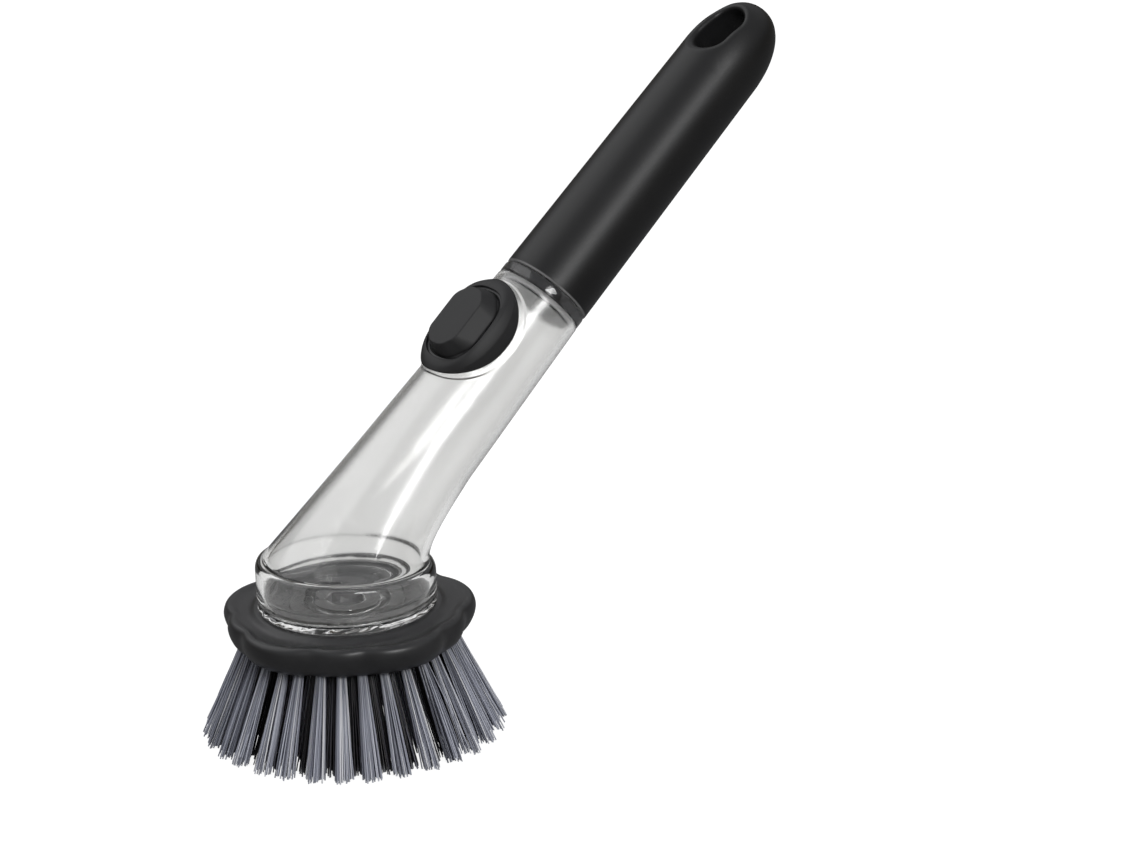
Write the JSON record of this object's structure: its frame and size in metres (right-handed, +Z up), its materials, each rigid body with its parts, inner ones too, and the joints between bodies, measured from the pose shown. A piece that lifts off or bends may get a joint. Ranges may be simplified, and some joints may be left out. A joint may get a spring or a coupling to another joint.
{
  "type": "soap-dispensing dish brush",
  "caption": "Dish brush with a leaning hollow handle, clear soap tank, push button and a round head of splayed bristles under a scalloped deck.",
  "frame": {"origin": "middle of the brush's own box on the floor, where the bristle tips stand", "axes": "+Z up along the head's axis, +X towards the handle's end, +Y across the handle"},
  "size_m": [0.2304, 0.0982, 0.2004],
  "materials": {
    "clear_plastic": "clear, glossy",
    "matte_black_plastic": "matte",
    "satin_black_rubber": "satin",
    "dark_plastic": "satin",
    "silicone": "satin",
    "clear_silicone": "milky",
    "light_bristle": "satin filament",
    "dark_bristle": "satin filament"
  },
  "bodies": {
    "tank": {"reservoir": "clear_plastic", "reservoir_base": "clear_plastic", "outlet_valve": "clear_silicone", "valve_retainer": "clear_plastic", "button_bezel": "satin_black_rubber", "pump_diaphragm": "silicone"},
    "button": {"button_pad": "satin_black_rubber"},
    "neck_ring": {"neck_seal": "silicone"},
    "handle": {"handle_grip": "matte_black_plastic", "handle_plug": "dark_plastic", "handle_collar": "clear_plastic"},
    "head_ring": {"head_seal": "silicone"},
    "brush_head": {"head_deck": "satin_black_rubber", "head_core": "dark_plastic", "bristles_light_outer": "light_bristle", "bristles_dark_outer": "dark_bristle", "bristles_light_inner": "light_bristle", "bristles_dark_inner": "dark_bristle"}
  },
  "joints": [
    {"name": "button_press", "type": "slide", "parent": "tank", "child": "button", "axis": [0.6018, 0, -0.7986], "range_m": [0, 0.003], "stiffness_N_per_m": 1500, "deforming": ["pump_diaphragm"]},
    {"name": "handle_travel", "type": "slide", "parent": "tank", "child": "neck_ring", "axis": [0.7986, 0, 0.6018], "range_m": [0, 0.01]},
    {"name": "handle_turn", "type": "hinge", "parent": "neck_ring", "child": "handle", "pos_m": [-0.06636, 0, 0.061], "axis": [0.7986, 0, 0.6018], "range_deg": [0, 900]},
    {"name": "head_travel", "type": "slide", "parent": "tank", "child": "head_ring", "axis": [0, 0, -1], "range_m": [0, 0.006]},
    {"name": "head_twist", "type": "hinge", "parent": "head_ring", "child": "brush_head", "pos_m": [-0.06636, 0, 0.038], "axis": [0, 0, -1], "range_deg": [0, 90]}
  ],
  "couplings": [
    {"joint": "handle_travel", "follows": "handle_turn", "m_per_rad": 0.0006366},
    {"joint": "head_travel", "follows": "head_twist", "m_per_rad": 0.0038197}
  ]
}
